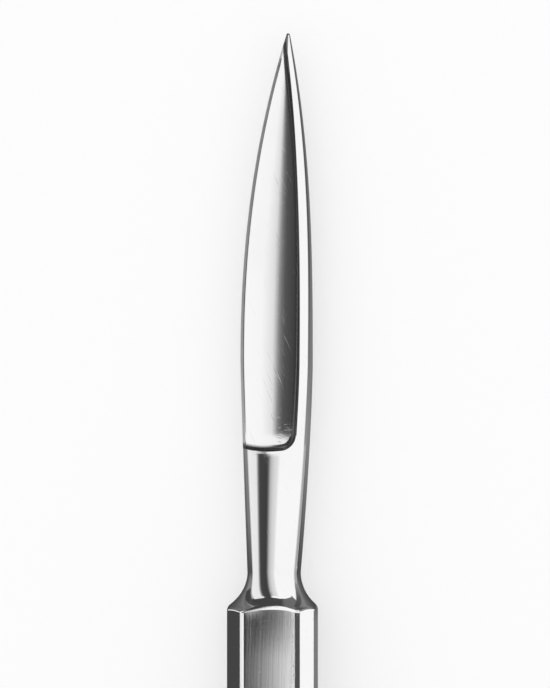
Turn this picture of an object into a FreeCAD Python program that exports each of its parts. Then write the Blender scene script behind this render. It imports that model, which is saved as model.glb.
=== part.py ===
import FreeCAD, Part
import math
import os

# Dissecting knife, forged, ground and polished from one piece of stainless steel.
# It lies flat on a wide facet of its handle. +Y runs along the knife to the point, +X to the
# back of the blade, -X to the cutting edge, +Z up. Millimetres. The origin is on the surface that
# the knife lies on, below the handle's centre line, half way between butt and point.

# Handle: an eight-sided bar, wider than it is thick
handle_length = 108.0
handle_width = 8.9
handle_thickness = 6.2
handle_bevel = 1.6          # leg of the 45 degree bevels between wide and narrow facets
ridge_radius = 0.75         # rounding of the long edges between the facets
butt_radius = 0.45          # rounding round the butt end

# Flare: the bar is drawn down to the neck in a hollow curve
flare_length = 3.9
flare_turn = 52.0           # degrees that the hollow curve turns through
shoulder_radius = 0.6       # rounding of the scalloped line where the curve meets the facets

# Shank, from the neck up to the end of the grind
shank_length = 12.4
neck_to_back = 2.9          # from the handle's centre line to each side of the neck
neck_to_edge = 2.55
neck_thickness = 3.4

# Blade, from the end of the grind to the point
blade_length = 41.5
belly_share = 0.795         # the blade is widest this share of its length from the point
belly_to_back = 4.05        # from the handle's centre line to each side there
belly_to_edge = 3.22
point_to_back = 1.6         # the point lies this far towards the back
point_width = 0.3
back_fullness = 2.8         # powers of the two outlines: 1 is straight, more is fuller
edge_fullness = 2.2
back_waist = 1.45           # powers of the outlines between belly and neck
edge_waist = 1.1
blade_thickness = 2.9       # at the end of the grind
point_thickness = 0.35
thickness_taper = 0.5       # power of the thinning towards the point
crest_share = 0.65          # the thickest line runs this share of the width from the edge side
crest_at_point = 0.5        # and comes back to this share at the point
section_fullness = 2.2      # power of the oval sections: 2 is an ellipse, more is squarer

# Hollow grind, the same on both faces
grind_depth = 0.6           # step below the back strip at the end of the grind
grind_sag = 0.16            # how far the ground face curves in below a straight line
strip_width = 1.35          # back strip left by the grind, at its end
strip_at_point = 0.35
strip_taper = 0.6           # power of its narrowing towards the point
grind_end_bow = 0.3         # how far the end of the grind bows down
grind_corner_radius = 1.5   # its corner beside the back strip, seen from above
grind_cove_radius = 0.6     # cove between the ground face and its walls
least_ground_width = 0.6    # at the point

# Honed bevel along the cutting edge, the same on both faces
edge_thickness = 0.08       # steel left at the edge itself
hone_width = 0.32
hone_angle = 17.0           # degrees between each bevel and the middle of the blade

# How far the shapes that cut are carried past what they cut
past_point = 1.0
past_edge = 0.6
past_grind_end = 1.5
past_wall = 0.3             # as a share of the ground face's width
same = 0.05                 # places nearer to each other than this are one

overall_length = handle_length + flare_length + shank_length + blade_length
butt_y = -overall_length / 2
shoulder_y = butt_y + handle_length
neck_y = shoulder_y + flare_length
grind_end_y = neck_y + shank_length
point_y = grind_end_y + blade_length
belly_y = point_y - belly_share * blade_length
middle_z = handle_thickness / 2
above_z = middle_z + handle_thickness

vector = FreeCAD.Vector


def waist_share(y):
    """How far y lies on the way from the belly (0) down to the neck (1)."""
    return (belly_y - y) / (belly_y - neck_y)


def outline_x(y, at_point, at_belly, at_neck, fullness, waist):
    """One side of the blade and shank, seen from above, as two power curves from the belly."""
    from_belly = (y - belly_y) / (point_y - belly_y)
    if from_belly > 0:
        return at_belly + (at_point - at_belly) * from_belly ** fullness
    return at_belly + (at_neck - at_belly) * waist_share(y) ** waist


def back_x(y):
    """Back of the knife."""
    at_point = point_to_back + point_width / 2
    return outline_x(y, at_point, belly_to_back, neck_to_back, back_fullness, back_waist)


def edge_x(y):
    """Cutting edge, and the same side of the shank."""
    at_point = point_to_back - point_width / 2
    return outline_x(y, at_point, -belly_to_edge, -neck_to_edge, edge_fullness, edge_waist)


def thickness(y):
    """Thickness of the forging: thin at the point, thickest at the neck."""
    if y > grind_end_y:
        share = max((point_y - y) / blade_length, 0)
        return point_thickness + (blade_thickness - point_thickness) * share ** thickness_taper
    share = (grind_end_y - y) / (grind_end_y - neck_y)
    return blade_thickness + (neck_thickness - blade_thickness) * share


def strip(y):
    """Width of the back strip beside the grind."""
    share = max((point_y - y) / blade_length, 0)
    return strip_at_point + (strip_width - strip_at_point) * share ** strip_taper


def crest(y):
    """Share of the width, from the edge side, at which the forging is thickest."""
    share = max((y - grind_end_y) / blade_length, 0)
    return crest_share + (crest_at_point - crest_share) * share ** 2


def face_height(x, y):
    """Height of the forging's face above its middle, at x."""
    width = max(back_x(y) - edge_x(y), point_width)
    from_crest = x - back_x(y) + (1 - crest(y)) * width
    side = 1 - crest(y) if from_crest > 0 else crest(y)
    share = min(abs(from_crest) / (side * width), 1)
    return thickness(y) / 2 * (1 - share ** section_fullness) ** (1 / section_fullness)


def oval(y, edge_side, back_side, thick, crest_at):
    """Closed section of the forging, two half ovals that meet at the crest.

    The long half towards the edge gets more points than the short half towards the back.
    """
    crest_x = edge_side + crest_at * (back_side - edge_side)
    back_steps, edge_steps = 4, 8
    quarter = math.pi / 2
    turns = [quarter * i / back_steps for i in range(back_steps)]
    turns += [quarter * (1 + i / edge_steps) for i in range(2 * edge_steps)]
    turns += [quarter * (3 + i / back_steps) for i in range(back_steps)]
    power = 2 / section_fullness
    points = []
    for turn in turns:
        half_width = back_side - crest_x if math.cos(turn) > 0 else crest_x - edge_side
        across = math.copysign(abs(math.cos(turn)) ** power, math.cos(turn))
        up = math.copysign(abs(math.sin(turn)) ** power, math.sin(turn))
        points.append(vector(crest_x + half_width * across, y, middle_z + thick / 2 * up))
    curve = Part.BSplineCurve()
    curve.interpolate(Points=points, PeriodicFlag=True, Parameters=list(range(len(points) + 1)))
    return Part.Wire([curve.toShape()])


def corner_cover():
    """How much larger than the bar an oval is that holds all its corners."""
    wide_corner = 1 - 2 * handle_bevel / handle_width
    thick_corner = 1 - 2 * handle_bevel / handle_thickness
    corner = max(wide_corner, thick_corner)
    spare = 1.03
    return spare * (1 + corner ** section_fullness) ** (1 / section_fullness)


def flare_sections():
    """Sections of the flare, from the foot, where it holds the whole bar, to just below the neck."""
    sections = []
    full_turn = math.radians(flare_turn)
    foot_half = corner_cover() * handle_width / 2
    foot_thick = corner_cover() * handle_thickness
    steps = 5
    for index in range(steps, 0, -1):
        turn = full_turn * index / steps
        out = (1 - math.cos(turn)) / (1 - math.cos(full_turn))
        y = neck_y - flare_length * math.sin(turn) / math.sin(full_turn)
        edge_side = -neck_to_edge - (foot_half - neck_to_edge) * out
        back_side = neck_to_back + (foot_half - neck_to_back) * out
        thick = neck_thickness + (foot_thick - neck_thickness) * out
        crest_at = crest_share + (0.5 - crest_share) * out
        sections.append(oval(y, edge_side, back_side, thick, crest_at))
    return sections


def forging_sections():
    """Sections of the shank and blade, from the neck up to the point."""
    stations = []
    for share in (0, 0.35, 0.7):
        stations.append(neck_y + (grind_end_y - neck_y) * share)
    for share in (0, 0.2, 0.4, 0.58, 0.73, 0.85, 0.93, 0.98, 1):
        stations.append(grind_end_y + blade_length * share)
    return [oval(y, edge_x(y), back_x(y), thickness(y), crest(y)) for y in stations]


def bar(from_y, to_y):
    """Eight-sided bar with its long edges rounded."""
    half_width = handle_width / 2
    half_thick = handle_thickness / 2
    corner_x = half_width - handle_bevel
    corner_z = half_thick - handle_bevel
    corners = [(corner_x, half_thick), (half_width, corner_z), (half_width, -corner_z),
               (corner_x, -half_thick), (-corner_x, -half_thick), (-half_width, -corner_z),
               (-half_width, corner_z), (-corner_x, half_thick)]
    points = [vector(x, from_y, middle_z + z) for x, z in corners]
    face = Part.Face(Part.makePolygon(points + points[:1]))
    solid = face.extrude(vector(0, to_y - from_y, 0))
    ridges = [edge for edge in solid.Edges if abs(edge.tangentAt(0).y) > 0.9]
    return solid.makeFillet(ridge_radius, ridges)


def handle(to_y):
    """The bar with its butt end rounded."""
    solid = bar(butt_y, to_y)
    rim = [edge for edge in solid.Edges if edge.BoundBox.YMax < butt_y + same]
    return solid.makeFillet(butt_radius, rim)


def knife_blank():
    """Forging and bar in one, with the scalloped shoulder line between them rounded."""
    forging = Part.makeLoft(flare_sections() + forging_sections(), True)
    trimmed = forging.common(bar(shoulder_y - past_point, point_y + past_point))
    solid = trimmed.fuse(handle(shoulder_y)).removeSplitter()
    scallops = []
    for edge in solid.Edges:
        ends = [vertex.Y for vertex in edge.Vertexes]
        if min(ends) > shoulder_y + same and max(ends) < neck_y:
            scallops.append(edge)
    return solid.makeFillet(shoulder_radius, scallops)


def wall_x(y):
    """Line between the ground face and the back strip, seen from above."""
    return back_x(y) - strip(y)


def ground_width(y):
    """Width of the ground face and its honed bevel."""
    return max(wall_x(y) - edge_x(y), least_ground_width)


def bevel_width(y):
    """Width of the honed bevel, narrower at the point."""
    return min(hone_width, ground_width(y) / 4)


def crease_height(y):
    """Height of the honed bevel's upper side above the middle of the blade."""
    return edge_thickness / 2 + bevel_width(y) * math.tan(math.radians(hone_angle))


def grind_slope():
    """Mean rise of the ground face, which the wheel keeps from the end of the grind to the point."""
    wall_foot = face_height(wall_x(grind_end_y), grind_end_y) - grind_depth
    across = ground_width(grind_end_y) - bevel_width(grind_end_y)
    return (wall_foot - crease_height(grind_end_y)) / across


def ground_section(y):
    """Section of what comes off the upper face: honed bevel, hollow floor and all above them.

    The bevel rises in a straight line from the cutting edge. The floor runs on from its crease as
    a shallow arc to the foot of the back strip. Past either end of the grind the section stays as
    it is there.
    """
    at = min(max(y, grind_end_y), point_y)
    rise = math.tan(math.radians(hone_angle))
    edge = vector(edge_x(at), y, middle_z + edge_thickness / 2)
    crease = edge + vector(bevel_width(at), 0, bevel_width(at) * rise)
    outside = edge - vector(past_edge, 0, past_edge * rise)
    across = ground_width(at) - bevel_width(at)
    sag = grind_sag * ground_width(at) / ground_width(grind_end_y)

    def floor_point(share):
        rise_here = grind_slope() * across * share - 4 * sag * share * (1 - share)
        return crease + vector(across * share, 0, rise_here)

    right = floor_point(1 + past_wall)
    bottom = [Part.makeLine(outside, crease), Part.Arc(crease, floor_point(0.5), right).toShape()]
    sides = Part.makePolygon([right, vector(right.x, y, above_z), vector(outside.x, y, above_z),
                              outside])
    return Part.Wire(bottom + sides.Edges)


def grind_end(x):
    """Height along the knife of the bowed end of the grind, an arc across the blade."""
    right = wall_x(grind_end_y)
    left = edge_x(grind_end_y)
    half = (right - left) / 2
    radius = (half ** 2 + grind_end_bow ** 2) / (2 * grind_end_bow)
    centre_y = grind_end_y - grind_end_bow + radius
    return centre_y - math.sqrt(radius ** 2 - (x - (left + right) / 2) ** 2)


def ground_area():
    """Prism over the area that the wheel clears, with its corner by the back strip rounded.

    It reaches past the sections of the ground face, so that no two ends lie in one plane.
    """
    start_y = point_y + 1.5 * past_point
    steps = 10
    line = [start_y - (start_y - grind_end_y) * i / steps for i in range(steps + 1)]
    wall = Part.BSplineCurve()
    wall.interpolate([vector(wall_x(y), y, 0) for y in line])
    corner = wall.EndPoint
    clear_x = edge_x(grind_end_y) - past_edge
    middle_x = (corner.x + clear_x) / 2
    end = Part.Arc(corner, vector(middle_x, grind_end(middle_x), 0),
                   vector(clear_x, grind_end(clear_x), 0)).toShape()
    sides = Part.makePolygon([vector(clear_x, grind_end(clear_x), 0),
                              vector(clear_x, wall.StartPoint.y, 0), wall.StartPoint])
    prism = Part.Face(Part.Wire([wall.toShape(), end] + sides.Edges))
    prism = prism.extrude(vector(0, 0, 2 * above_z))
    upright = []
    for edge in prism.Edges:
        box = edge.BoundBox
        beside_corner = abs(box.YMin - corner.y) < same and abs(box.XMin - corner.x) < same
        if beside_corner and box.ZLength > handle_thickness:
            upright.append(edge)
    return prism.makeFillet(grind_corner_radius, upright)


def grind_cutter():
    """All that the wheel takes off the upper face, with a cove where floor and walls meet."""
    stations = [grind_end_y - past_grind_end, grind_end_y - past_grind_end / 2]
    for share in (0, 0.2, 0.4, 0.6, 0.75, 0.87, 0.95, 1):
        stations.append(grind_end_y + blade_length * share)
    stations.append(point_y + past_point)
    floor = Part.makeLoft([ground_section(y) for y in stations], True)
    cutter = floor.common(ground_area())
    foot = []
    for edge in cutter.Edges:
        middle = edge.valueAt((edge.FirstParameter + edge.LastParameter) / 2)
        beside_wall = abs(middle.x - wall_x(middle.y)) < same
        beside_end = middle.y < grind_end_y + grind_corner_radius
        level = edge.BoundBox.ZMax < above_z - same
        if level and (beside_wall or beside_end):
            foot.append(edge)
    return cutter.makeFillet(grind_cove_radius, foot)


def knife():
    """The blank with the same grind and bevel cut into both faces."""
    upper = grind_cutter()
    lower = upper.mirror(vector(0, 0, middle_z), vector(0, 0, 1))
    return knife_blank().cut(upper).cut(lower)


os.makedirs("parts", exist_ok=True)
solid = knife()
print("valid", solid.isValid(), "volume", solid.Volume, "solids", len(solid.Solids))
solid.exportStep("parts/knife.step")
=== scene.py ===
import math
import bpy
import numpy as np
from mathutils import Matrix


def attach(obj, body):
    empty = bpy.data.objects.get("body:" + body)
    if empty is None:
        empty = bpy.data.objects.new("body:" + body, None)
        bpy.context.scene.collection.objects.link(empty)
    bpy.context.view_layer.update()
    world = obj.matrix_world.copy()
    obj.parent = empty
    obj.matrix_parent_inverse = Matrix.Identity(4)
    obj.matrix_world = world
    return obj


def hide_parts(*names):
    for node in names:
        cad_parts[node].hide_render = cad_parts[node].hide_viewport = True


# The knife lies on a white table and a camera looks down on its blade, as in a catalogue picture.
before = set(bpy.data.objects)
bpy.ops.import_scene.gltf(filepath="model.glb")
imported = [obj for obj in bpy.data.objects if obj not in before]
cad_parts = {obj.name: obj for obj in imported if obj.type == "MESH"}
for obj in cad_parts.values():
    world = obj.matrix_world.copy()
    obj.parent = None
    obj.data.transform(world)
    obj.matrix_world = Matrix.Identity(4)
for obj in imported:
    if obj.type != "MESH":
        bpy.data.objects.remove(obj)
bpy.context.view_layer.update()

# Camera: above the blade, tipped a little towards the back of the knife, 0.1 mm to a pixel.
# Sizes are in millimetres all through, and each turns into metres where an object gets it.
millimetre = 0.001
tilt = math.radians(5.5)
stand_off, picture_height = 600.0, 68.8
aim = np.array([0.25, 51.8, 3.1])
camera_data = bpy.data.cameras.new("picture_camera")
camera_data.sensor_width = 36.0
camera_data.lens = camera_data.sensor_width * stand_off / picture_height
camera = bpy.data.objects.new("picture_camera", camera_data)
camera.location = (aim + stand_off * np.array([math.sin(tilt), 0, math.cos(tilt)])) * millimetre
camera.rotation_euler = (0, tilt, 0)
bpy.context.scene.collection.objects.link(camera)
bpy.context.scene.camera = camera

# Knife: one bar of stainless steel, drop forged to a blade, shank and flared neck on an
# eight-sided handle. Both faces of the blade are hollow ground on a wheel up to a plunge line,
# the edge is honed, and the whole is polished. Heights are from the middle of its thickness.
handle_half, handle_rise, handle_bevel, ridge_radius = 4.45, 3.1, 1.6, 0.75
butt_y, shoulder_y, neck_y, grind_end_y, point_y = -82.9, 25.1, 29.0, 41.4, 82.9
butt_radius = 0.45
flare_turn, foot_spare, shoulder_blend = math.radians(52.0), 1.03, 0.28
neck_to_back, neck_to_edge, neck_rise = 2.9, 2.55, 1.7
belly_y, belly_to_back, belly_to_edge = 49.91, 4.05, 3.22
point_x, point_half, point_dome = 1.6, 0.15, 0.15
back_fullness, edge_fullness, back_waist, edge_waist = 2.8, 2.2, 1.45, 1.1
blade_length, blade_rise, point_rise, thickness_taper = 41.5, 1.45, 0.175, 0.5
oval_power, crest_share, crest_at_point = 2.2, 0.65, 0.5
grind_depth, grind_sag, grind_end_bow = 0.6, 0.16, 0.3
strip_width, strip_at_point, strip_taper = 1.35, 0.35, 0.6
corner_radius, cove_radius, least_ground = 1.5, 0.6, 0.6
edge_rise, hone_width, hone_slope = 0.04, 0.32, math.tan(math.radians(17.0))
most_hone_share = 0.25


def outline(y, at_point, at_belly, at_neck, fullness, waist):
    """One outline: its x at the belly plus a power of the share of the way to point or neck."""
    up = np.clip((y - belly_y) / (point_y - belly_y), 0, 1)
    down = np.clip((belly_y - y) / (belly_y - neck_y), 0, None)
    return at_belly + (at_point - at_belly) * up ** fullness + (at_neck - at_belly) * down ** waist


def back_line(y):
    """x of the back of the knife, by the formula of outline."""
    return outline(y, point_x + point_half, belly_to_back, neck_to_back, back_fullness, back_waist)


def edge_line(y):
    """x of the cutting edge and of that side of the shank, by the formula of outline."""
    return outline(y, point_x - point_half, -belly_to_edge, -neck_to_edge,
                   edge_fullness, edge_waist)


def forged_rise(y):
    """Half thickness on the centre line: a square root from the point, then even to the neck."""
    left = np.clip((point_y - y) / blade_length, 0, 1)
    down = np.clip((grind_end_y - y) / (grind_end_y - neck_y), 0, 1)
    at_blade = point_rise + (blade_rise - point_rise) * left ** thickness_taper
    return at_blade + (neck_rise - blade_rise) * down


def crest_line(y):
    """x of the thickest line: a share of the width that falls with the square of the way up."""
    up = np.clip((y - grind_end_y) / blade_length, 0, 1)
    share = crest_share + (crest_at_point - crest_share) * up ** 2
    return edge_line(y) + share * (back_line(y) - edge_line(y))


def forged_height(x, y):
    """Upper face of the forging, two half ovals that meet at the crest, each
    rise * (1 - |share of the way from the crest to its side|^n)^(1/n)."""
    crest = crest_line(y)
    share = np.where(x > crest, (x - crest) / (back_line(y) - crest),
                     (crest - x) / (crest - edge_line(y)))
    return forged_rise(y) * (1 - np.clip(share, 0, 1) ** oval_power) ** (1 / oval_power)


def wall_line(y):
    """x of the wall beside the back strip: the back less a width that narrows by a power."""
    left = np.clip((point_y - y) / blade_length, 0, 1)
    return back_line(y) - strip_at_point - (strip_width - strip_at_point) * left ** strip_taper


# The floor of the grind climbs at one slope, from the bevel to the foot of the wall at its end.
end_y = np.array(grind_end_y)
end_left, end_right = edge_line(end_y), wall_line(end_y)
end_foot = forged_height(end_right, end_y) - grind_depth
end_climb = end_foot - edge_rise - hone_width * hone_slope
ground_slope = end_climb / (end_right - end_left - hone_width)


def ground_height(x, y):
    """Upper face left by the wheel and the hone: a straight bevel up from the edge, then a
    parabola to the wall, crease + slope * way - 4 * sag * share * (1 - share)."""
    at = np.clip(y, grind_end_y, point_y)
    wide = np.maximum(wall_line(at) - edge_line(at), least_ground)
    bevel = np.minimum(hone_width, most_hone_share * wide)
    way = x - edge_line(at) - bevel
    share = way / (wide - bevel)
    sag = grind_sag * wide / (end_right - end_left)
    crease = edge_rise + bevel * hone_slope
    floor = crease + ground_slope * way - 4 * sag * share * (1 - share)
    return np.where(way > 0, floor, crease + way * hone_slope)


# The end of the grind, seen from above: a shallow arc across the blade that turns up beside the
# back strip on a corner circle. Each circle is a centre and a radius.
arc_half, arc_middle = (end_right - end_left) / 2, (end_right + end_left) / 2
arc_radius = (arc_half ** 2 + grind_end_bow ** 2) / (2 * grind_end_bow)
arc_centre = np.array([arc_middle, grind_end_y - grind_end_bow + arc_radius])
corner_x = end_right - corner_radius
corner_drop = math.sqrt((arc_radius - corner_radius) ** 2 - (corner_x - arc_middle) ** 2)
corner_centre = np.array([corner_x, arc_centre[1] - corner_drop])
corner_turn = (corner_centre - arc_centre) / (arc_radius - corner_radius)


def grind_end_line(x):
    """y of the end of the grind at x: the arc, the corner circle, then level past the wall."""
    arc = arc_centre[1] - np.sqrt(np.clip(arc_radius ** 2 - (x - arc_middle) ** 2, 0, None))
    over = np.clip(x - corner_x, 0, corner_radius)
    corner = corner_centre[1] - np.sqrt(corner_radius ** 2 - over ** 2)
    return np.where(x < corner_x + corner_radius * corner_turn[0], arc, corner)


def into_grind(x, y):
    """Distance inside the ground area, from the nearest of its wall, end arc and corner circle."""
    square_x = x - wall_line(y) + end_right
    to_arc = np.minimum(y - arc_centre[1], 0)
    from_arc = arc_radius - np.hypot(square_x - arc_centre[0], to_arc)
    to_x, to_y = square_x - corner_centre[0], y - corner_centre[1]
    in_corner = (to_y < 0) & (corner_turn[0] * to_y - corner_turn[1] * to_x > 0)
    from_corner = corner_radius - np.hypot(to_x, to_y)
    straight = np.minimum(end_right - square_x, from_arc)
    return np.clip(np.where(in_corner, from_corner, straight), 0, None)


def cove(distance):
    """Quarter round at the foot of a wall: radius - sqrt(radius^2 - (radius - distance)^2)."""
    short = np.clip(cove_radius - distance, 0, cove_radius)
    return cove_radius - np.sqrt(cove_radius ** 2 - short ** 2)


# The lines that run along the upper half, from the cutting edge to the back: so many on the
# bevel, the floor, the part beside the wall, and the back strip, each with its own spacing.
# Towards the point the parts keep to these shares of what is left of the width.
bevel_lines, floor_lines, wall_lines, strip_lines = 8, 26, 30, 24
top_line = bevel_lines + floor_lines + wall_lines
line_count = top_line + strip_lines + 1
least_to_wall, least_strip, most_bevel, most_beside = 0.55, 0.08, 0.2, 0.45
beside_width = 1.6


def lines_across(y):
    """x of every line at the heights y along the knife, one column for each line.

    Powers of the share at the round edge, even steps on the floor, a sine up to the wall, and
    even angles of the oval on the back strip.
    """
    edge, back, wall = edge_line(y), back_line(y), wall_line(y)
    depth = np.clip(forged_height(wall, y) - ground_height(wall, y), 0, cove_radius)
    lean = cove_radius - np.sqrt(cove_radius ** 2 - (cove_radius - depth) ** 2)
    top = np.clip(wall - lean, edge + least_to_wall * (back - edge),
                  back - least_strip * (back - edge))
    bevel = np.minimum(hone_width, most_bevel * (top - edge))
    beside = np.minimum(beside_width, most_beside * (top - edge - bevel))
    crest = crest_line(y)
    angle = np.arccos(np.clip((top - crest) / (back - crest), 0, 1) ** (oval_power / 2))
    index = np.arange(line_count)
    on_bevel = np.clip(index / bevel_lines, 0, 1) ** oval_power
    on_floor = np.clip((index - bevel_lines) / floor_lines, 0, 1)
    on_wall = np.sin(np.clip((index - bevel_lines - floor_lines) / wall_lines, 0, 1) * math.pi / 2)
    on_strip = np.clip((index - top_line) / strip_lines, 0, 1)
    inner = edge + bevel * on_bevel + (top - beside - edge - bevel) * on_floor + beside * on_wall
    outer = crest + (back - crest) * np.cos(angle * (1 - on_strip)) ** (2 / oval_power)
    return np.where(index < top_line, inner, outer)


def ramp(start, stop, count):
    """count numbers from start towards stop, in even steps, without stop."""
    return start + (stop - start) * np.arange(count) / count


def smooth(share):
    """0 to 1 with level ends: 3 share^2 - 2 share^3."""
    share = np.clip(share, 0, 1)
    return share * share * (3 - 2 * share)


# Stations along the blade and shank, closest at the end of the grind. The ones near it are bent
# so that one of them runs along that end, and the bend dies away on both sides.
shank_end, floor_start, point_start = grind_end_y - 2.2, grind_end_y + 2.0, point_y - 2.5
before_end = grind_end_y - np.array([1.6, 1.1, 0.75, 0.5, 0.33, 0.2, 0.12, 0.06, 0.02])
past_end = grind_end_y + np.array([0, 0.012, 0.03, 0.055, 0.085, 0.12, 0.16, 0.2, 0.25, 0.3, 0.35,
                                   0.4, 0.45, 0.5, 0.55, 0.6, 0.66, 0.75, 0.9, 1.1, 1.35, 1.65])
dome = point_y - point_dome * (1 - np.array([0, 0.35, 0.6, 0.8, 0.92, 0.98]))
stations = np.concatenate([
    ramp(neck_y, shank_end, 28), [shank_end], before_end, past_end,
    ramp(floor_start, point_start, 96), ramp(point_start, dome[0], 16), dome])[:, None]
bend_reach = 8.0
at_end = np.full((1, line_count), grind_end_y)
bend = grind_end_line(lines_across(at_end)) - grind_end_y
blade_y = stations + bend * (1 - smooth(np.abs(stations - grind_end_y) / bend_reach))
blade_x = lines_across(blade_y)
is_ground = (stations >= grind_end_y) & (np.arange(line_count) <= top_line)
from_wall = into_grind(blade_x, blade_y)
left_by_wheel = ground_height(blade_x, blade_y) + cove(from_wall)
forged = forged_height(blade_x, blade_y)
blade_z = np.where(is_ground, np.minimum(forged, left_by_wheel), forged)
dome_share = np.clip((stations - point_y + point_dome) / point_dome, 0, 1)
shrink = np.sqrt(1 - dome_share ** 2)
blade_x = point_x + (blade_x - point_x) * np.where(dome_share > 0, shrink, 1)
blade_z = blade_z * np.where(dome_share > 0, shrink, 1)


# Centres of the circles that round the lower and upper ridge of the bar, in its section.
bevel_sum, root = handle_half + handle_rise - handle_bevel, math.sqrt(2)
low_x, high_z = handle_half - ridge_radius, handle_rise - ridge_radius
low_ridge = np.array([low_x, bevel_sum - root * ridge_radius - low_x])
high_ridge = np.array([bevel_sum - root * ridge_radius - high_z, high_z])


def ridge_turns(radius):
    """Angles at which side facet, low ridge, bevel, high ridge and wide facet follow each other."""
    lean = radius / root
    return [np.arctan2(low_ridge[1], low_ridge[0] + radius),
            np.arctan2(low_ridge[1] + lean, low_ridge[0] + lean),
            np.arctan2(high_ridge[1] + lean, high_ridge[0] + lean),
            np.arctan2(high_ridge[1] + radius, high_ridge[0])]


# No sine or cosine counts as less than this where a facet's distance is divided by it.
least_share = 1e-6


def bar_reach(angle, inset):
    """Distance from the middle of the bar to its surface at an angle, in a section across it.

    A facet's distance over the cosine to its normal, or the far crossing with a ridge's circle.
    inset moves every facet in.
    """
    across, up = np.abs(np.cos(angle)), np.abs(np.sin(angle))
    radius = ridge_radius - inset

    def circle(centre):
        along = centre[0] * across + centre[1] * up
        return along + np.sqrt(np.clip(along ** 2 - centre @ centre + radius ** 2, 0, None))

    side = (handle_half - inset) / np.maximum(across, least_share)
    wide = (handle_rise - inset) / np.maximum(up, least_share)
    bevel = (bevel_sum - root * inset) / (across + up)
    here = np.arctan2(up, across)
    return np.select([here < turn for turn in ridge_turns(radius)],
                     [side, circle(low_ridge), bevel, circle(high_ridge)], wide)


# The search for the flare's surface: how far out it begins, and how often it halves.
farthest, halvings = 60.0, 40


def flare_reach(angle, y):
    """Distance from the middle of the bar to the flare's oval at an angle, in a section at y.

    The oval grows from the neck with 1 - cos of the turn of the hollow curve. The distance is
    found by halving the interval from nothing to farthest again and again.
    """
    reach = np.clip((neck_y - y) / (neck_y - shoulder_y) * math.sin(flare_turn), 0, 1)
    out = (1 - np.sqrt(1 - reach ** 2)) / (1 - math.cos(flare_turn))
    corner = max(1 - handle_bevel / handle_half, 1 - handle_bevel / handle_rise)
    spare = foot_spare * (1 + corner ** oval_power) ** (1 / oval_power)
    back = neck_to_back + (spare * handle_half - neck_to_back) * out
    edge = -neck_to_edge - (spare * handle_half - neck_to_edge) * out
    rise = neck_rise + (spare * handle_rise - neck_rise) * out
    crest = edge + (crest_share + (0.5 - crest_share) * np.minimum(out, 1)) * (back - edge)
    size = np.broadcast(angle, y).shape
    low, high = np.zeros(size), np.full(size, farthest)
    for _ in range(halvings):
        middle = (low + high) / 2
        from_crest = middle * np.cos(angle) - crest
        across = np.where(from_crest > 0, from_crest / (back - crest), from_crest / (edge - crest))
        up = np.abs(middle * np.sin(angle) / rise)
        inside = across ** oval_power + up ** oval_power < 1
        low, high = np.where(inside, middle, low), np.where(inside, high, middle)
    return (low + high) / 2


# Stations of the flare and handle, closest at the scalloped shoulder. Their lines turn from the
# places that they have on the neck to places close together at the handle's ridges, from one
# line of bar_index to the next over each facet and ridge in turn.
right_turns = np.array([0, *ridge_turns(ridge_radius)])
bar_turns = np.concatenate([math.pi - right_turns, right_turns[::-1]])
bar_index = np.cumsum([0, 5, 9, 8, 9, 26, 9, 8, 9, 5])
bar_angle = np.interp(np.arange(line_count), bar_index, bar_turns)
neck_angle = np.arctan2(blade_z[0], blade_x[0])
butt_steps, butt_rings = 8, [0.3, 0.6, 0.85]
butt_turn = np.radians(np.arange(butt_steps, -1, -1) * 90 / butt_steps)
butt_stations = butt_y + butt_radius * (1 - np.sin(butt_turn))
butt_inset = butt_radius * (1 - np.cos(butt_turn))
long_stations = np.array([-80.0, -70, -60, -50, -40, -30, -20, -10, 0, 8, 14, 18, 21, 23, 24.2])
scallop_start, scallop_low, scallop_high = 24.6, 24.95, 26.6
handle_y = np.concatenate([
    np.full(len(butt_rings), butt_y), butt_stations, long_stations,
    ramp(scallop_start, scallop_low, 5), ramp(scallop_low, scallop_high, 50),
    ramp(scallop_high, neck_y, 22)])[:, None]
plain_length = len(handle_y) - len(butt_rings)
handle_inset = np.concatenate([np.full(len(butt_rings), butt_radius), butt_inset,
                               np.zeros(plain_length - len(butt_inset))])[:, None]
butt_scale = np.concatenate([butt_rings, np.ones(plain_length)])[:, None]
all_on_bar = 26.1
slide = smooth((neck_y - handle_y) / (neck_y - all_on_bar))
handle_angle = neck_angle + (bar_angle - neck_angle) * slide
on_bar = bar_reach(handle_angle, handle_inset)
on_flare = flare_reach(handle_angle, handle_y)
apart = np.clip(shoulder_blend - np.abs(on_flare - on_bar), 0, None)
reach = np.minimum(on_flare, on_bar) - apart ** 2 / (4 * shoulder_blend)
handle_x = reach * np.cos(handle_angle) * butt_scale
handle_z = reach * np.sin(handle_angle) * butt_scale

# Masks, 0 to 1 at each point. satin is the flat of a wide facet, clear of ridges and shoulder,
# honed is the bevel, and corner is the foot of the grind's wall and end, as far as dark_reach,
# where the material paints shade into the steel's colour.
satin_start, satin_fade, satin_side_fade = 0.10, 0.25, 0.2
clear_of_shoulder = smooth((on_flare - on_bar - satin_start) / satin_fade)
clear_of_ridges = smooth((high_ridge[0] - np.abs(handle_x)) / satin_side_fade)
satin = np.concatenate([clear_of_shoulder * clear_of_ridges * (handle_z > high_z),
                        np.zeros(blade_x.shape)])
line = np.arange(line_count)
honed = np.concatenate([np.zeros(handle_x.shape), is_ground & (line < bevel_lines)])
dark_reach, dark_fade = 0.62, 0.3
corner = np.concatenate([np.zeros(handle_x.shape),
                         is_ground * smooth((dark_reach - from_wall) / dark_fade)])

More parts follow.
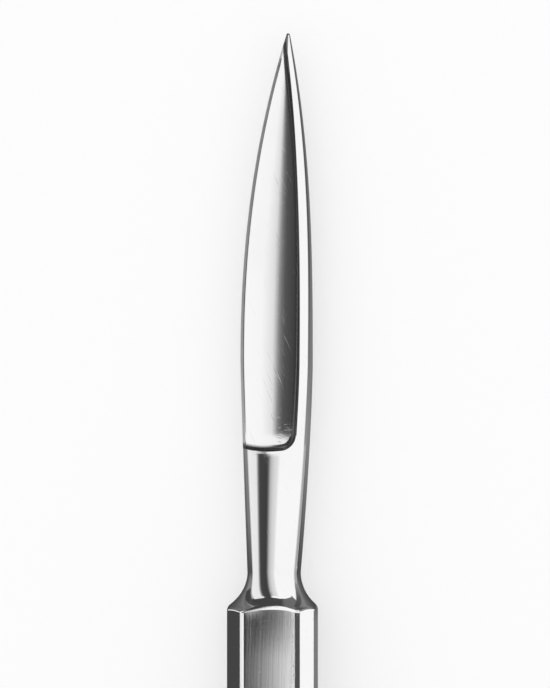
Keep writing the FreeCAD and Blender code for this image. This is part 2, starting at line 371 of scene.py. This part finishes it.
# rubbed is what hands and trays rub: the handle's ridges, a few lines wide each, and its shoulder.
ridge_reach, ridge_fade, shoulder_gain, nearly_all = 5.5, 2.0, 1.6, 0.9
ridge_lines = (bar_index[1:-1:2] + bar_index[2::2]) / 2
from_ridge = np.min(np.abs(line - ridge_lines[:, None]), axis=0)
on_ridge = smooth((ridge_reach - from_ridge) / ridge_fade) * (slide > nearly_all)
rubbed = np.maximum(on_ridge, smooth(apart / shoulder_blend * shoulder_gain))
rubbed = np.concatenate([rubbed, np.zeros(blade_x.shape)])

# The closed mesh: rings round the knife from butt to point, with a fan of triangles at each end.
x = np.concatenate([handle_x, blade_x])
y = np.concatenate([np.broadcast_to(handle_y, handle_x.shape), blade_y])
z = np.concatenate([handle_z, blade_z])


def closed_rings(upper, flip):
    """Upper half rings, then the same points back again with their height turned over."""
    return np.concatenate([upper, flip * upper[:, -2:0:-1]], axis=1)


rings = np.stack([closed_rings(x, 1), closed_rings(y, 1), closed_rings(z, -1)], axis=-1)
ring_count, ring_size = rings.shape[:2]
poles = np.array([[0, butt_y, 0], [point_x, point_y, 0]])
points = (np.concatenate([rings.reshape(-1, 3), poles]) + [0, 0, handle_rise]) * millimetre
first = np.arange(ring_count - 1)[:, None] * ring_size
here, there = np.arange(ring_size), (np.arange(ring_size) + 1) % ring_size
quads = np.stack([first + here, first + there, first + ring_size + there,
                  first + ring_size + here], axis=-1).reshape(-1, 4)
last = (ring_count - 1) * ring_size
butt_fan = np.stack([np.full(ring_size, ring_count * ring_size), there, here], axis=-1)
point_fan = np.stack([np.full(ring_size, ring_count * ring_size + 1), last + here, last + there],
                     axis=-1)
steel = bpy.data.meshes.new("knife_steel")
steel.from_pydata(points.tolist(), [], quads.tolist() + butt_fan.tolist() + point_fan.tolist())
steel.polygons.foreach_set("use_smooth", np.ones(len(steel.polygons), dtype=bool))
for finish_name, mask in {"satin": satin, "honed": honed, "rubbed": rubbed,
                          "corner": corner}.items():
    layer = steel.attributes.new(finish_name, "FLOAT", "POINT")
    layer.data.foreach_set("value", np.append(closed_rings(mask, 1).ravel(), [0, 0]))
knife = bpy.data.objects.new("knife_steel", steel)
bpy.context.scene.collection.objects.link(knife)

# Polished stainless steel: a mirror with hair-fine marks of the last buff and of use, satin along
# the handle's wide facets, stone-honed along the edge, rubbed on its ridges, and rougher in the
# corner under the back strip and at the end of the grind, where its colour is darkened as painted
# shade.


def add_node(tree, kind, inputs, **settings):
    """A node of a tree, each of its inputs a value or linked to another node's socket."""
    made = tree.nodes.new(kind)
    for name, value in settings.items():
        setattr(made, name, value)
    for key, value in inputs.items():
        if isinstance(value, bpy.types.NodeSocket):
            tree.links.new(value, made.inputs[key])
        else:
            made.inputs[key].default_value = value
    return made


# Fine marks: noise drawn out into lines along a turned direction, with the faint ones cut away.
fine_marks = bpy.data.node_groups.new("fine_marks", "ShaderNodeTree")
for name, kind in {"Place": "Vector", "Turn": "Float",
                   "Stretch": "Vector", "Least": "Float"}.items():
    fine_marks.interface.new_socket(name, in_out="INPUT", socket_type="NodeSocket" + kind)
fine_marks.interface.new_socket("Marks", in_out="OUTPUT", socket_type="NodeSocketFloat")
given = fine_marks.nodes.new("NodeGroupInput").outputs
turned = add_node(fine_marks, "ShaderNodeVectorRotate", {
    "Vector": given["Place"], "Angle": given["Turn"]}, rotation_type="Z_AXIS")
drawn = add_node(fine_marks, "ShaderNodeVectorMath", {
    0: turned.outputs[0], 1: given["Stretch"]}, operation="MULTIPLY")
noise = add_node(fine_marks, "ShaderNodeTexNoise", {
    "Vector": drawn.outputs[0], "Scale": 1.0, "Detail": 1.0, "Roughness": 0.5})
full_mark = 0.78
marks = add_node(fine_marks, "ShaderNodeMapRange", {
    "Value": noise.outputs["Fac"], "From Min": given["Least"], "From Max": full_mark})
add_node(fine_marks, "NodeGroupOutput", {"Marks": marks.outputs["Result"]})

polish = bpy.data.materials.new("polished_steel")
polish.use_nodes = True
tree = polish.node_tree
in_metres = add_node(tree, "ShaderNodeTexCoord", {}).outputs["Object"]
place = add_node(tree, "ShaderNodeVectorMath", {0: in_metres, "Scale": 1 / millimetre},
                 operation="SCALE").outputs[0]


def marks_node(degrees, stretch, least):
    """Fine marks along y, turned by so many degrees, stretch in marks to a millimetre."""
    return add_node(tree, "ShaderNodeGroup", {
        "Place": place, "Turn": math.radians(degrees), "Stretch": stretch, "Least": least},
        node_tree=fine_marks).outputs["Marks"]


def mask_node(name):
    """The value of one of the meshes' own masks, in the tree at hand."""
    return add_node(tree, "ShaderNodeAttribute", {}, attribute_name=name).outputs["Fac"]


def math_node(operation, *values):
    """The result of a math node, of values or sockets, in the tree at hand."""
    return add_node(tree, "ShaderNodeMath", dict(enumerate(values)),
                    operation=operation).outputs[0]


def sum_node(*terms):
    """Sum of products, each term a tuple of values or sockets."""
    total = None
    for term in terms:
        product = term[0]
        for factor in term[1:]:
            product = math_node("MULTIPLY", product, factor)
        total = product if total is None else math_node("ADD", total, product)
    return total


# Each term of the three sums is a mask or a kind of mark, and how much it adds.
satin_mask, hone_mask, rub_mask = mask_node("satin"), mask_node("honed"), mask_node("rubbed")
painted_shade_mask = mask_node("corner")
buff_marks = marks_node(83, (7.0, 0.30, 7.0), 0.60)
use_marks = marks_node(-24, (6.0, 0.22, 6.0), 0.66)
brush_marks = marks_node(1.5, (8.0, 0.07, 8.0), 0.40)
hone_marks = marks_node(62, (7.5, 0.5, 7.5), 0.42)
nick_marks = marks_node(15, (4.0, 2.2, 4.0), 0.62)
haze = add_node(tree, "ShaderNodeTexNoise", {
    "Vector": place, "Scale": 0.16, "Detail": 3.0, "Roughness": 0.6}).outputs["Fac"]
haze = add_node(tree, "ShaderNodeMapRange", {
    "Value": haze, "From Min": 0.45, "From Max": 0.75}).outputs["Result"]

clean_roughness, clean_steel, blue_tint, mark_depth = 0.045, 0.93, 1.003, 0.0000012
roughness = sum_node((clean_roughness,), (haze, 0.03), (buff_marks, 0.05), (use_marks, 0.07),
                     (satin_mask, 0.11), (satin_mask, brush_marks, 0.07),
                     (hone_mask, 0.27), (hone_mask, hone_marks, 0.12),
                     (rub_mask, 0.04), (rub_mask, nick_marks, 0.16), (painted_shade_mask, 0.16))
height = sum_node((buff_marks, -0.5), (use_marks, -0.75), (satin_mask, brush_marks, -2.2),
                  (hone_mask, hone_marks, -2.0), (rub_mask, nick_marks, -5.0))
# The corner mask darkens the colour to under a third: painted shade along the foot of the grind's
# wall and its end.
steel_wear_and_painted_shade = sum_node((clean_steel,), (haze, -0.02), (use_marks, -0.05), (rub_mask, nick_marks, -0.15),
                  (hone_mask, hone_marks, -0.08), (painted_shade_mask, -0.66))
tint = add_node(tree, "ShaderNodeCombineColor", {
    "Red": steel_wear_and_painted_shade, "Green": steel_wear_and_painted_shade, "Blue": math_node("MULTIPLY", steel_wear_and_painted_shade, blue_tint)}).outputs[0]
relief = add_node(tree, "ShaderNodeBump", {
    "Strength": 1.0, "Distance": mark_depth, "Height": height}).outputs[0]
shader = tree.nodes["Principled BSDF"]
shader.inputs["Metallic"].default_value = 1.0
tree.links.new(tint, shader.inputs["Base Color"])
tree.links.new(roughness, shader.inputs["Roughness"])
tree.links.new(relief, shader.inputs["Normal"])
steel.materials.append(polish)
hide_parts("knife")
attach(knife, "root")

# Table: a white sheet that shows white and keeps the soft shadow of the knife.
floor_mesh = bpy.data.meshes.new("table_top")
half = 8.0
floor_mesh.from_pydata([(-half, -half, 0), (half, -half, 0), (half, half, 0), (-half, half, 0)],
                       [], [(0, 1, 2, 3)])
table_top = bpy.data.objects.new("table_top", floor_mesh)
bpy.context.scene.collection.objects.link(table_top)
sheet = bpy.data.materials.new("white_sheet")
sheet.use_nodes = True
shader = sheet.node_tree.nodes["Principled BSDF"]
sheet_white, sheet_glow = 0.6, 0.41
shader.inputs["Base Color"].default_value = (sheet_white, sheet_white, sheet_white, 1)
shader.inputs["Roughness"].default_value = 1.0
shader.inputs["Specular IOR Level"].default_value = 0.0
shader.inputs["Emission Color"].default_value = (1, 1, 1, 1)
shader.inputs["Emission Strength"].default_value = sheet_glow
floor_mesh.materials.append(sheet)

# Cards round the knife, white, grey and black ones as a photographer stands them up to draw the
# edges of polished metal. Only mirrors see them. Each is a grid of points, with a level of
# brightness at each point.
card_face = bpy.data.materials.new("card_face")
card_face.use_nodes = True
tree = card_face.node_tree
tree.nodes.clear()
glow = add_node(tree, "ShaderNodeEmission", {"Strength": mask_node("level")}).outputs[0]
add_node(tree, "ShaderNodeOutputMaterial", {"Surface": glow})


def card(name, rows, levels):
    """A card from rows of points in millimetres, an array of rows * columns * 3, and levels."""
    rows, levels = np.asarray(rows, dtype=float), np.asarray(levels, dtype=float)
    count, size = levels.shape
    start = (np.arange(count - 1)[:, None] * size + np.arange(size - 1)).ravel()
    faces = np.stack([start, start + 1, start + size + 1, start + size], axis=-1)
    mesh = bpy.data.meshes.new(name)
    mesh.from_pydata((rows.reshape(-1, 3) * millimetre).tolist(), [], faces.tolist())
    mesh.attributes.new("level", "FLOAT", "POINT").data.foreach_set("value", levels.ravel())
    mesh.materials.append(card_face)
    made = bpy.data.objects.new(name, mesh)
    made.visible_camera = made.visible_diffuse = made.visible_shadow = False
    made.visible_transmission = False
    bpy.context.scene.collection.objects.link(made)


def arc_card(name, far, from_y, to_y, turn_levels, twist=0):
    """A card bent on a circle round the knife's long axis, with a level at each angle.

    Its points are far * (sin turn, cos turn) from the middle of the knife, at both ends in y. All
    turns at the far end are larger by twist.
    """
    degrees, levels = np.array(turn_levels, dtype=float).T
    ends = []
    for card_y, more in ((from_y, 0), (to_y, twist)):
        turns = np.radians(degrees + more)
        across, up = far * np.sin(turns), handle_rise + far * np.cos(turns)
        ends.append(np.stack([across, 0 * turns + card_y, up], axis=-1))
    card(name, ends, [levels, levels])


# Bent cards with a dark band each: one over the blade for the dark side of its hollow, one over
# the shank for its stripe, and one past the point that the flare mirrors.
arc_card("blade_card", 60.0, 41.7, 87.0, [
    (-66, 0.05), (-28, 0.05), (-24, 0.09), (-22.8, 0.15), (-21.7, 0.26), (-20.6, 0.52),
    (-19.5, 0.78), (-17.4, 0.88), (-14.5, 1.0)])
arc_card("shank_card", 12.0, 24.8, 40.95, [
    (-70, 0.9), (-48, 0.85), (-43.5, 0.2), (-40.5, 0.06), (-27, 0.05), (-24.5, 0.2), (-22, 0.5),
    (-18, 0.68), (-13.5, 0.78), (-10.5, 1.0)], 8)
arc_card("flare_card", 60.0, 88.0, 125.0, [
    (-66, 0.85), (-38, 0.85), (-35, 0.05), (-22, 0.05), (-18, 0.85)])

# A low grey one follows the cutting edge and lights its honed bevel, darker towards the point.
edge_steps, beside_edge, edge_card_foot, edge_card_height = 12, 2.0, 4.3, 2.2
edge_y = np.linspace(grind_end_y, 81, edge_steps)
edge_foot = np.stack([edge_line(edge_y) - beside_edge, edge_y, 0 * edge_y + edge_card_foot],
                     axis=-1)
edge_level = np.linspace(0.34, 0.12, edge_steps)
card("edge_card", np.stack([edge_foot, edge_foot + [0, 0, edge_card_height]], axis=1),
     np.stack([edge_level, edge_level], axis=1))

# The handle has its own: one close above it that shades the wide facet, lighter to the right and
# towards the butt, a black one over the ridge at its right, and white ones beyond the right bevel,
# both ends of the shoulder and the left ridge.
below_butt, above_shoulder, close_above, far_right = -90.0, 25.6, 15.1, 34.0
facet_x, facet_y = np.meshgrid(np.linspace(-4.7, 1.4, 15),
                               np.append(below_butt, np.linspace(8, above_shoulder, 14)))
dark_x, dark_y, level_y, slant, lift_width = -2.1, 24.2, 20.0, 0.6, 6.0
lift = facet_x - dark_x + slant * (dark_y - np.maximum(facet_y, level_y))
card("facet_card", np.stack([facet_x, facet_y, 0 * facet_x + close_above], axis=-1),
     0.035 + 0.8 * np.clip(lift / lift_width, 0, 1) ** 1.8)
card("ridge_card", [[(x, y, close_above) for x in (2, 30)] for y in (below_butt, above_shoulder)],
     np.full((2, 2), 0.08))
card("bevel_card", [[(far_right, y, z) for z in (1, 14)] for y in (below_butt, 26)],
     np.ones((2, 2)))
for side_name, side_x in {"left": -10, "right": 10}.items():
    card(side_name + "_shoulder_card", [[(side_x, y, z) for z in (1.5, 8)] for y in (25.4, 27.8)],
         np.ones((2, 2)))
arc_card("ridge_white_card", 60.0, below_butt, 24.0, [(-92, 0.85), (-45, 0.85)])

# Low on both sides the metal sees black and grey, and a black card stands past the point.
low_y = np.array([-140.0, 24, 27, 33, 43, 46, 60, 75, 140])
on_table, past_point, black, far_left = 0.02, 125.0, 0.06, -29.0


def side_card(name, near, far, height, levels):
    """A strip along the knife from x near to x far, and up to height at far, with levels in y."""
    ends = [np.stack([0 * low_y + x, low_y, 0 * low_y + z], axis=-1)
            for x, z in ((near, on_table), (far, height))]
    card(name, np.stack(ends, axis=1), np.stack([levels, levels], axis=1))


side_card("left_card", far_left, far_left, 12,
          [black, black, black, 0.2, 0.25, black, black, black, black])
side_card("left_low_card", far_left, -5, on_table,
          [black, black, black, 0.12, 0.2, 0.15, 0.15, 0.3, 0.3])
side_card("right_low_card", 4.46, 400, on_table,
          [0.25, 0.2, black, 0.14, 0.25, 0.22, 0.2, 0.18, 0.18])
card("right_card", [[(far_right, y, z) for z in (0.5, 16)] for y in (40, 50, 62, past_point)],
     [[level, level] for level in (0.3, 0.2, 0.1, black)])
card("far_card", [[(x, past_point, z) for x in (-60, 0, 12, 60)] for z in (on_table, 60)],
     [[0.05, 0.06, 0.15, 0.15]] * 2)

# Studio: a world that is white overhead and falls to grey low down on both sides, as seen by
# mirrors. Matt things get even light from it, and the camera sees it white.
world = bpy.data.worlds.new("studio")
bpy.context.scene.world = world
world.use_nodes = True
tree = world.node_tree
tree.nodes.clear()
direction = add_node(tree, "ShaderNodeTexCoord", {}).outputs["Generated"]
way = add_node(tree, "ShaderNodeSeparateXYZ", {"Vector": direction}).outputs
side_turn = math_node("ARCTAN2", way["X"], way["Z"])
turn_share = math_node("ADD", math_node("DIVIDE", side_turn, 2 * math.pi), 0.5)
across_ramp = add_node(tree, "ShaderNodeValToRGB", {"Fac": turn_share})
stops = [(-180, 0.3), (-74, 0.25), (-66, 0.85), (-40, 0.92), (-8, 1.0), (64, 1.0), (74, 0.42),
         (180, 0.3)]
elements = across_ramp.color_ramp.elements
while len(elements) < len(stops):
    elements.new(0.5)
for element, (degrees, level) in zip(elements, stops):
    element.position = degrees / 360 + 0.5
    element.color = (level, level, level, 1)

# Matt light for most rays, white for the camera and through glass, the ramp for mirrors.
rays = add_node(tree, "ShaderNodeLightPath", {}).outputs
matt_level = 0.95
shown = math_node("ADD", rays["Is Camera Ray"], rays["Is Transmission Ray"])
to_mirrored = math_node("SUBTRACT", across_ramp.outputs["Color"], matt_level)
strength = sum_node((matt_level,), (shown, 1 - matt_level), (rays["Is Glossy Ray"], to_mirrored))
background = add_node(tree, "ShaderNodeBackground", {
    "Color": (1, 1, 1, 1), "Strength": strength})
add_node(tree, "ShaderNodeOutputWorld", {"Surface": background.outputs[0]})
world.cycles.sampling_method = "NONE"
bpy.context.scene.view_settings.view_transform = "Standard"
